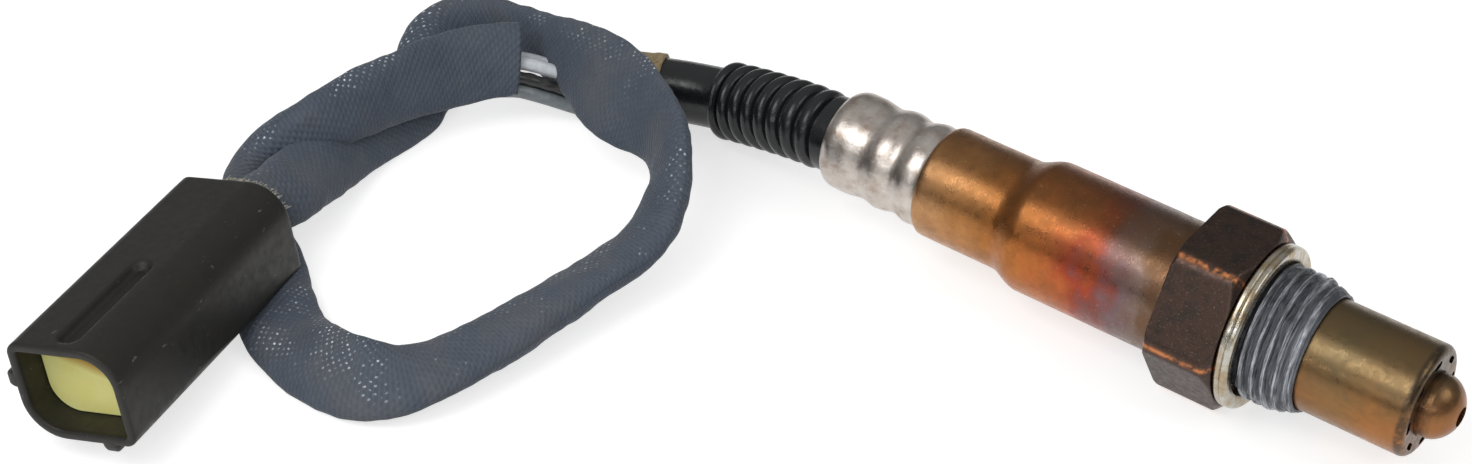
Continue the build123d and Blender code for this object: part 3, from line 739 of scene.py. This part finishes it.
def thread():
    """The thread's helix, with grey paste smeared in its grooves."""
    def ridge(x, angle):
        return clamped(0.5 + 0.75 * cos(2 * pi * (x / THREAD_PITCH) - angle))

    def shape(x, r, angle):
        if x < 0 or r < THREAD_ROOT / 2 - 0.5:
            return r
        top = thread_envelope(x)
        root = min(THREAD_ROOT / 2, top - 0.06)
        spot = Vector((x * 0.9, cos(angle) * 7, sin(angle) * 7))
        paste = max(0, noise.noise(spot * 0.55)) * 0.9
        lump = 0.10 * noise.noise(spot * 1.2) + 0.03 * noise.noise(spot * 3.0)
        radius = between(root, top, max(ridge(x, angle), min(1, paste + 0.15))) + lump
        return min(radius, THREAD_DIAMETER / 2, top + 0.1)

    # The crests, where the painted highlight lies.
    def painted_highlight(x, angle):
        return ridge(x, angle) if x > 0 else 0.0

    bore, steps = 8.1, 150
    profile = [(HEX_FRONT, bore), (-0.1, bore)]
    profile += [(LIP_FRONT * k / steps, THREAD_DIAMETER / 2) for k in range(steps + 1)]
    profile += [(LIP_FRONT + 0.05, 7.7), (LIP_FRONT, 7.5), (LIP_FRONT - 0.6, 7.42)]
    return turned("thread", profile, thread_steel(), "steel_hexagon", 300, shape, painted_highlight)


def gasket():
    def shape(x, r, angle):
        wave = 0.05 * sin(3 * angle + 0.6) + 0.03 * sin(7 * angle)
        return min(r + wave * (r - GASKET_BORE_RADIUS) / 2.6, GASKET_DIAMETER / 2)

    return turned("gasket", rounded(GASKET, 0.12, 3), gasket_steel(), "steel_gasket", 256, shape)


def stepped_sleeve():
    def shape(x, r, angle):
        spot = Vector((x * 0.12, cos(angle), sin(angle)))
        return r - 0.05 * abs(noise.noise(spot * 1.8))

    wide, narrow = SLEEVE_DIAMETER / 2, SLEEVE_SMALL_DIAMETER / 2
    profile = [(HEX_REAR + 0.1, wide - 0.5), (HEX_REAR - 0.05, wide - 0.2), (HEX_REAR - 0.1, wide)]
    profile = split(profile + [(SHOULDER_FRONT, wide)], 1.0)
    shares = [k / 24 for k in range(1, 25)]
    profile += [(between(SHOULDER_FRONT, SHOULDER_REAR, t), between(wide, narrow, eased(t))) for t in shares]
    profile += split([(SHOULDER_REAR, narrow), (SLEEVE_REAR + 0.9, narrow)], 1.0)[1:]
    rolled_edge = [(0.45, 0.07), (0.15, 0.25), (0, 0.5), (0.1, 0.75), (1.0, 0.9)]
    profile += [(SLEEVE_REAR + ahead, narrow - inset) for ahead, inset in rolled_edge]
    return turned("stepped_sleeve", profile, heat_tinted_sleeve(), "steel_sleeve", 192, shape)


def collar():
    def shape(x, r, angle):
        spot = Vector((x * 0.5, 2.2 * cos(angle), 2.2 * sin(angle)))
        return r - 0.09 * max(0, noise.noise(spot) + 0.1)

    profile = rounded([(x, diameter / 2) for x, diameter in COLLAR], 0.3, 3)
    return turned("crimped_collar", split(profile, 0.4), collar_steel(), "steel_collar", 192, shape)


# --- camera and studio ---

azimuth, elevation, roll = (radians(a) for a in (CAMERA_AZIMUTH, CAMERA_ELEVATION, CAMERA_ROLL))
level_right = Vector((cos(azimuth), sin(azimuth), 0))
level_up = Vector((-sin(azimuth) * sin(elevation), cos(azimuth) * sin(elevation), cos(elevation)))
to_camera = level_right.cross(level_up)


def add_camera():
    view_right = cos(roll) * level_right + sin(roll) * level_up
    view_up = cos(roll) * level_up - sin(roll) * level_right
    data = bpy.data.cameras.new("camera")
    data.sensor_width = SENSOR_WIDTH
    data.lens = FOCAL_PIXELS / IMAGE_WIDTH * SENSOR_WIDTH
    data.clip_start = 0.01
    camera = bpy.data.objects.new("camera", data)
    turn = Matrix((view_right, view_up, to_camera)).transposed()
    camera.matrix_world = Matrix.Translation(Vector(CAMERA_PLACE) * MM) @ turn.to_4x4()
    bpy.context.collection.objects.link(camera)
    bpy.context.scene.camera = camera


def add_lamp(name, place, aim, size, watts):
    data = bpy.data.lights.new(name, "AREA")
    data.shape = "RECTANGLE"
    data.size, data.size_y = (side * MM for side in size)
    data.energy = watts
    lamp = bpy.data.objects.new(name, data)
    lamp.location = Vector(place) * MM
    lamp.rotation_euler = (Vector(aim) - Vector(place)).to_track_quat("-Z", "Y").to_euler()
    bpy.context.collection.objects.link(lamp)


def add_floor():
    """A pale floor that keeps shadows, and glows a little where it is seen or mirrored."""
    mesh = bpy.data.meshes.new("floor")
    corners = [(-1, -1), (1, -1), (1, 1), (-1, 1)]
    points = [Vector((x * FLOOR_REACH, y * FLOOR_REACH, TABLE - FLOOR_GAP)) * MM for x, y in corners]
    mesh.from_pydata(points, [], [(0, 1, 2, 3)])
    floor = bpy.data.objects.new("floor", mesh)
    bpy.context.collection.objects.link(floor)
    material = bpy.data.materials.new("white_floor")
    tree = Tree(material)
    tree.nodes.clear()
    diffuse = tree.node("ShaderNodeBsdfDiffuse")
    diffuse.inputs["Color"].default_value = (FLOOR_GREY, FLOOR_GREY, FLOOR_GREY, 1)
    rays = tree.node("ShaderNodeLightPath").outputs
    mirrored = tree.maths("MAXIMUM", rays["Is Glossy Ray"], rays["Is Transmission Ray"])
    seen = tree.maths("MAXIMUM", rays["Is Camera Ray"], mirrored)
    glow = tree.node("ShaderNodeEmission")
    tree.put(glow.inputs["Strength"], tree.times(seen, FLOOR_GLOW))
    both = tree.node("ShaderNodeAddShader")
    tree.put(both.inputs[0], diffuse.outputs[0])
    tree.put(both.inputs[1], glow.outputs[0])
    tree.put(tree.node("ShaderNodeOutputMaterial").inputs["Surface"], both.outputs[0])
    mesh.materials.append(material)


def add_world():
    world = bpy.data.worlds.new("studio")
    tree = Tree(world)
    height = tree.part(tree.node("ShaderNodeTexCoord").outputs["Generated"], "Z")
    stops = [(place, (level, level, level, 1)) for place, level in SKY_LEVELS]
    background = tree.nodes["Background"]
    tree.put(background.inputs["Color"], tree.ramp(height, stops))
    background.inputs["Strength"].default_value = SKY_STRENGTH
    bpy.context.scene.world = world


# --- harness ---


def smooth_line(points):
    """Points of the NURBS line that has the given control points."""
    curve = bpy.data.curves.new("line", "CURVE")
    curve.dimensions = "3D"
    spline = curve.splines.new("NURBS")
    spline.points.add(len(points) - 1)
    for point, place in zip(spline.points, points):
        point.co = (*place, 1)
    spline.order_u = 3
    spline.use_endpoint_u = True
    spline.resolution_u = 24
    mesh = bpy.data.meshes.new_from_object(bpy.data.objects.new("line", curve))
    return [vertex.co.copy() for vertex in mesh.vertices]


route_line = smooth_line([point[:3] for point in ROUTE])
form_line = smooth_line([(width, face, 0) for _, _, _, width, face in ROUTE])
travelled = [0.0]
for first, second in zip(route_line, route_line[1:]):
    travelled.append(travelled[-1] + (second - first).length)


class Station:
    """A place on the harness: its centre, its heading, and the directions of its width and depth."""

    def __init__(self, distance):
        index = min(max(0, bisect_right(travelled, distance) - 1), len(route_line) - 2)
        share = (distance - travelled[index]) / (travelled[index + 1] - travelled[index])
        self.centre = route_line[index].lerp(route_line[index + 1], share)
        before = route_line[max(0, index - 1)]
        after = route_line[min(len(route_line) - 1, index + 2)]
        heading = (after - before).normalized()
        form = form_line[index].lerp(form_line[index + 1], share)
        level = heading.cross(to_camera).normalized()
        face = radians(form.y)
        self.across = cos(face) * level + sin(face) * level.cross(heading)
        self.depth = self.across.cross(heading)
        self.width = form.x
        self.thickness = max(FLATTEST, 2 * ROUND - self.width)

    def at(self, u, v):
        return self.centre + self.across * u + self.depth * v

    def oval(self, angle, inset=0.0):
        """A point of the flattened sleeve's section."""
        u = (self.width / 2 - inset) * powered(cos(angle), 0.85)
        v = (self.thickness / 2 - inset) * powered(sin(angle), 0.9)
        return self.at(u, v)


def distance_at_x(x):
    """How far along the harness its line first passes the given X."""
    return next(distance for distance, point in zip(travelled, route_line) if point.x < x)


def spaced(start, end, step):
    """Distances along the harness from start to end, a step or less apart."""
    count = ceil((end - start) / step)
    return [start + (end - start) * k / count for k in range(count + 1)]


def round_row(distance, radius, sides):
    station = Station(distance)
    return [station.at(radius * cos(angle), radius * sin(angle)) for angle in full_turn(sides)]


boot_start = distance_at_x(BOOT_START_X)
collar_end = distance_at_x(min(x for x, _ in COLLAR))
boot_end = distance_at_x(BOOT_END_X)
sleeve_start = distance_at_x(SLEEVE_START_X)
harness_end = travelled[-1]


def boot():
    def radius(distance):
        past_collar = distance - collar_end
        if past_collar < FIRST_RIB - RIB_WIDTH:
            return NECK_DIAMETER / 2
        radius = BOOT_DIAMETER / 2
        for rib in range(RIB_COUNT):
            off = abs(past_collar - FIRST_RIB - rib * RIB_PITCH) / (RIB_WIDTH / 2 + RIB_FOOT)
            if off < 1:
                radius += (RIB_DIAMETER - BOOT_DIAMETER) / 2 * (1 - off ** 2.4) ** 0.6
        return radius

    sides = 56
    rows = [round_row(distance, radius(distance), sides) for distance in spaced(boot_start, boot_end, 0.12)]
    for back, inset in ((0, 0.25), (0, 0.9), (0, 1.3), (1.0, 1.35), (4.0, 1.35), (8.0, 1.35)):
        rows.append(round_row(boot_end - back, BOOT_DIAMETER / 2 - inset, sides))
    return make_piece("ribbed_boot", rows, boot_rubber(), "boot_rubber")


def band():
    """Tape wound round the boot's end, with slight lumps and lapped edges."""
    start, end = boot_end - BAND_GRIP, boot_end + BAND_OVERHANG
    sides, lumps, lump_height, lump_lean = 64, 5, 0.08, 9
    rows = [round_row(start, BOOT_DIAMETER / 2 + 0.02, sides)]
    for distance in spaced(start, end, 0.3):
        station = Station(distance)
        swell = 0.12 * noise.noise(Vector((distance, 0, 0)))
        lean = lump_lean * (distance - start) / (end - start)
        row = []
        for angle in full_turn(sides):
            radius = BAND_DIAMETER / 2 + swell + lump_height * sin(lumps * angle + lean)
            row.append(station.at(radius * cos(angle), radius * sin(angle)))
        rows.append(row)
    rows.append(round_row(end, BOOT_DIAMETER / 2 - 0.1, sides))
    rows.append(round_row(end - 0.8, BOOT_DIAMETER / 2 - 0.3, sides))
    return make_piece("tape_band", rows, tan_tape(), "band_tape")


def woven_sleeve():
    """The creased flat sleeve, and the points that it follows."""
    sides, fold, ripple, full_crease = 72, 0.35, 0.16, 4.5
    distances = spaced(sleeve_start, harness_end - SLEEVE_END, 0.45)
    inner_distances = [sleeve_start + inward for inward in (8.0, 3.0, 0.0)]
    rows = [
        [Station(distance).oval(angle, FABRIC_WALL) for angle in full_turn(sides)]
        for distance in inner_distances
    ]
    along, around = [], []
    for distance in distances:
        station = Station(distance)
        row, arc = [], 0.0
        for angle in full_turn(sides):
            point = station.oval(angle)
            crease = fold * noise.noise(point * 0.16) + ripple * noise.noise(point * 0.5)
            crease *= min(1, station.thickness / full_crease)
            point = point + (station.across * cos(angle) + station.depth * sin(angle)) * crease
            point.z = max(point.z, TABLE + 0.05)
            if row:
                arc += (point - row[-1]).length
            row.append(point)
            along.append(distance)
            around.append(arc)
        rows.append(row)
    inner = len(inner_distances)
    values = {"along": [0.0] * (inner * sides) + along, "around": around[:sides] * inner + around}
    piece = make_piece("woven_sleeve", rows, woven_fabric(), "sleeve_fabric", values=values)
    return piece, [Station(distance).centre * MM for distance in distances]


def wire(name, material, slot, in_boot, bare, in_sleeve, ribbed):
    """A wire, and the points that it follows. It is given its place across the harness in the
    boot, where it lies bare, and in the flat sleeve."""
    sides, rib_pitch, rib_height = 14, 0.8, 0.07
    bare_from, bare_to, fade = boot_end - 4, sleeve_start + 9, 7
    rows, path = [], []
    for distance in spaced(0, harness_end - WIRE_END, 0.6):
        station = Station(distance)
        shown = clamped((distance - bare_from) / fade) * clamped((bare_to - distance) / fade)
        flat = clamped((station.width - NEARLY_ROUND) / 1.6)
        u, v = (
            between(between(round_place, flat_place, flat), bare_place, shown)
            for round_place, flat_place, bare_place in zip(in_boot, in_sleeve, bare)
        )
        middle = station.at(u, v)
        middle.z = max(middle.z, TABLE + WIRE_DIAMETER / 2 + 0.5)
        path.append(middle * MM)
        radius = WIRE_DIAMETER / 2
        if ribbed:
            radius *= 1 + rib_height * sin(2 * pi * distance / rib_pitch)
        rows.append([
            middle + station.across * (radius * cos(angle)) + station.depth * (radius * sin(angle))
            for angle in full_turn(sides)
        ])
    return make_piece(name, rows, material, slot, ends=(True, True)), path


def length_of(path):
    return sum((b - a).length for a, b in zip(path, path[1:]))


# --- plug ---

yaw = radians(PLUG_YAW)
flat_rear = Vector((cos(yaw), sin(yaw), 0))
flat_side = Vector((-sin(yaw), cos(yaw), 0))
to_rear = Matrix.Rotation(-radians(PLUG_PITCH), 3, flat_side) @ flat_rear
level_width = to_rear.cross(upward).normalized()
to_right = Matrix.Rotation(-radians(PLUG_ROLL), 3, to_rear) @ level_width
to_top = to_right.cross(to_rear)
edge_drop = PLUG_LARGE_RADIUS * (to_right.z + to_top.z - sqrt(1 - to_rear.z ** 2))
plug_rear = (
    Vector((*PLUG_FRONT_CORNER, TABLE - edge_drop - PLUG_LENGTH * to_rear.z)) + to_rear * PLUG_LENGTH
    + to_right * (PLUG_WIDTH / 2) + to_top * (PLUG_HEIGHT / 2)
)


def plug_point(x, y, depth):
    """x and y are from the plug's middle, and depth is from its rear face towards its mouth."""
    return plug_rear + to_right * x + to_top * y - to_rear * depth


def plug_outline(inset):
    """The plug's section: two opposite corners with a large radius, and two with a small one."""
    half_w, half_h = PLUG_WIDTH / 2 - inset, PLUG_HEIGHT / 2 - inset
    tight, large = (max(radius - inset, 0.15) for radius in (PLUG_SMALL_RADIUS, PLUG_LARGE_RADIUS))
    arcs = []
    corners = ((1, 1, large, 0), (-1, 1, tight, 90), (-1, -1, large, 180), (1, -1, tight, 270))
    for right, top, radius, start in corners:
        x, y = right * (half_w - radius), top * (half_h - radius)
        angles = [radians(start + 9 * step) for step in range(11)]
        arcs.append([(x + radius * cos(angle), y + radius * sin(angle)) for angle in angles])
    outline = []
    for arc, following, parts in zip(arcs, arcs[1:] + arcs[:1], (44, 24, 44, 24)):
        (x0, y0), (x1, y1) = arc[-1], following[0]
        outline += arc
        outline += [(between(x0, x1, k / parts), between(y0, y1, k / parts)) for k in range(1, parts)]
    return outline


def plug_ring(inset, depth, groove=True):
    outline = plug_outline(inset)
    return [plug_point(x, y - (groove_depth(x, y, depth) if groove else 0), depth) for x, y in outline]


def groove_depth(x, y, depth):
    """How deep the groove is pressed into the top face there."""
    if y < PLUG_HEIGHT / 2 - 0.4:
        return 0.0
    from_front = PLUG_LENGTH - depth
    half = GROOVE_WIDTH / 2
    nearest = min(max(from_front, GROOVE_START + half), GROOVE_END - half)
    away = hypot(x, from_front - nearest)
    return GROOVE_DEPTH * eased(clamped((half - away) / GROOVE_EDGE + 0.35))


def hole_ring(radius, depth):
    """A ring of the round hole in the rear face, with its points in line with the outline's."""
    angles = [atan2(y, x) for x, y in plug_outline(1.0)]
    return [plug_point(radius * cos(angle), radius * sin(angle), depth) for angle in angles]


def nub(base, sideways, outward):
    """Rings of a small block with rounded edges, on the plug's front edge."""
    rows = []
    for rise, shrink in ((-0.3, 0.0), (0.3, 0.05), (0.7, 0.15), (1.0, 0.28), (1.2, 0.5), (1.3, 0.85)):
        row = []
        for angle in full_turn(32):
            a = (NUB_WIDTH / 2 - shrink) * powered(cos(angle), 0.35)
            b = NUB_LENGTH / 2 + (NUB_LENGTH / 2 - shrink) * powered(sin(angle), 0.35)
            row.append(base + sideways * a + to_rear * b + outward * rise)
        rows.append(row)
    return rows


def plug():
    """The shell, from the hole in its rear face to the bottom of its mouth, and its two nubs."""
    hole = ((2.6, 3.0), (3.6, 2.9), (3.65, 0.3), (3.85, 0.05), (4.6, 0.0))
    rows = [hole_ring(radius, depth) for radius, depth in hole]
    rows += [plug_ring(inset, 0.0, False) for inset in (1.2, 0.6)]
    rows += [plug_ring(inset, depth) for inset, depth in ((0.35, 0.05), (0.15, 0.18), (0.04, 0.38))]
    steps = 110
    rows += [plug_ring(0.0, 0.6 + (PLUG_LENGTH - 0.95) * k / steps) for k in range(steps + 1)]
    rows += [plug_ring(inset, PLUG_LENGTH - back) for inset, back in ((0.06, 0.12), (0.2, 0.02), (0.5, 0))]
    mouth = [(0.4, 0), (0.12, 0.06)] + [(0, back) for back in (0.3, 1.0, 3.0, 6.0, 9.0, MOUTH_DEPTH - 0.5)]
    rows += [plug_ring(PLUG_WALL - out, PLUG_LENGTH - back, False) for out, back in mouth]
    plastic = plug_plastic()
    pieces = [make_piece("plug_body", rows, plastic, "plug_plastic")]
    bottom = plug_point(BOTTOM_NUB_PLACE - PLUG_WIDTH / 2, -PLUG_HEIGHT / 2, PLUG_LENGTH)
    left = plug_point(-PLUG_WIDTH / 2, LEFT_NUB_PLACE - PLUG_HEIGHT / 2, PLUG_LENGTH)
    for name, base, sideways, outward in (
        ("nub_bottom", bottom, to_right, -to_top),
        ("nub_left", left, to_top, -to_right),
    ):
        rows = nub(base, sideways, outward)
        pieces.append(make_piece(name, rows, plastic, "plug_plastic", ends=(False, True)))
    return pieces


def fringe(material):
    """Pale thread ends between the plug's rear edge and the sleeve."""
    threads_each, steps, sides, thickness, sunk = 5, 5, 4, 0.20, 0.4
    roots = [(x, y) for x, y in plug_outline(0.5) if y > 2.6 and x > -1.2]
    points, faces = [], []
    for index, (x, y) in enumerate(roots * threads_each):
        jitter, other = wobble(index * 1.37, 4.1), wobble(index * 0.91, 9.3)
        outward = (to_right * x + to_top * y).normalized()
        root = plug_point(x + 0.7 * jitter.x, y + 0.3 * jitter.y, 0.3) - outward * sunk
        bend = root + to_rear * 0.6 + outward * (0.45 + 0.35 * jitter.z)
        tip = bend + to_rear * (0.15 + 0.5 * abs(other.x))
        tip += to_right * (1.1 * other.y) - outward * (0.4 * other.z)
        base = len(points)
        for step in range(steps + 1):
            t = step / steps
            middle = root * (1 - t) ** 2 + bend * 2 * t * (1 - t) + tip * t * t
            radius = thickness / 2 * (1 - 0.5 * t)
            for turn in full_turn(sides):
                points.append(middle + to_right * radius * cos(turn) + to_top * radius * sin(turn))
        faces += tube_faces(steps + 1, sides, base)
        faces.append(tuple(range(len(points) - sides, len(points))))
    return add_mesh("frayed_end", points, faces, material, "sleeve_fabric")


# --- build ---


def dress(material, *nodes):
    for node in nodes:
        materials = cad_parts[node].data.materials
        materials.clear()
        materials.append(material)


bpy.context.scene.view_settings.view_transform = "Standard"
add_camera()
add_world()
add_floor()
for lamp in LAMPS:
    add_lamp(*lamp)

thread_ends = mottled("pale_fibre", rgb(132, 129, 121), rgb(192, 187, 172), (0.6, 0.8), 2.0, 3.0)
ceramic = mottled(
    "inner_ceramic", rgb(228, 224, 214), rgb(238, 236, 230), (0.5, 0.7), grain=(4.0, 4.0, 0.03, 0.5),
)
plated = mottled(
    "contact_metal", rgb(208, 186, 128), rgb(196, 190, 176), (0.25, 0.42), grain=(4.0, 3.0, 0.02, 0.4),
    Metallic=1.0,
)
red_rubber = mottled(
    "red_rubber", rgb(136, 66, 46), rgb(150, 80, 56), (0.5, 0.65), grain=(3.0, 3.0, 0.03, 0.4),
)

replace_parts(hexagon(), "sensor_housing")
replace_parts(thread(), "sensor_housing")
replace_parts(gasket(), "sealing_gasket")
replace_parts(stepped_sleeve(), "protective_sleeve")
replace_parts(collar(), "crimp_collar")
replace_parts(boot(), "grommet_boot")
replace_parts(band(), "boot_end_band")
dress(tube_steel(), "outer_protection_tube", "inner_protection_tube")
dress(ceramic, "sensing_element", "front_ceramic_bush", "talc_packing", "rear_ceramic_bush")
dress(ceramic, "contact_holder_upper", "contact_holder_lower")
dress(plated, "contact_springs", "wire_crimps", "terminals")
dress(collar_steel(), "packing_ring", "holder_clamp_ring")
dress(retainer_plastic(), "terminal_retainer")
dress(red_rubber, "wire_seal")

plug_pieces = plug()
for piece in plug_pieces:
    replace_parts(piece, "connector_housing")

sleeve, sleeve_path = woven_sleeve()
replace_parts(sleeve, "harness_sleeve")
frayed = fringe(thread_ends)
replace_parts(frayed, "harness_sleeve")
tuple(Station(boot_end).centre * MM)
length_of(sleeve_path)
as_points(sleeve_path)

white = wire_skin("white_insulation", rgb(216, 222, 228), rgb(196, 200, 204))
black = wire_skin("black_insulation", rgb(22, 22, 23), rgb(44, 44, 46))
grey = wire_skin("grey_insulation", rgb(104, 112, 118), rgb(130, 136, 138))
for name, skin, slot, in_boot, bare, in_sleeve, ribbed in (
    ("white_a", white, "wire_white", (1.25, -1.25), (-0.4, 0.0), (0.97, 0.0), False),
    ("white_b", white, "wire_white", (1.25, 1.25), (0.3, -1.95), (2.9, 0.0), False),
    ("black", black, "wire_black", (-1.25, 1.25), (-2.5, 0.1), (-0.97, 0.0), True),
    ("grey", grey, "wire_grey", (-1.25, -1.25), (-4.3, 0.0), (-2.9, 0.0), False),
):
    piece, path = wire(f"lead_{name}", skin, slot, in_boot, bare, in_sleeve, ribbed)
    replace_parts(piece, f"wire_{name}")
    length_of(path)
    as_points(path)
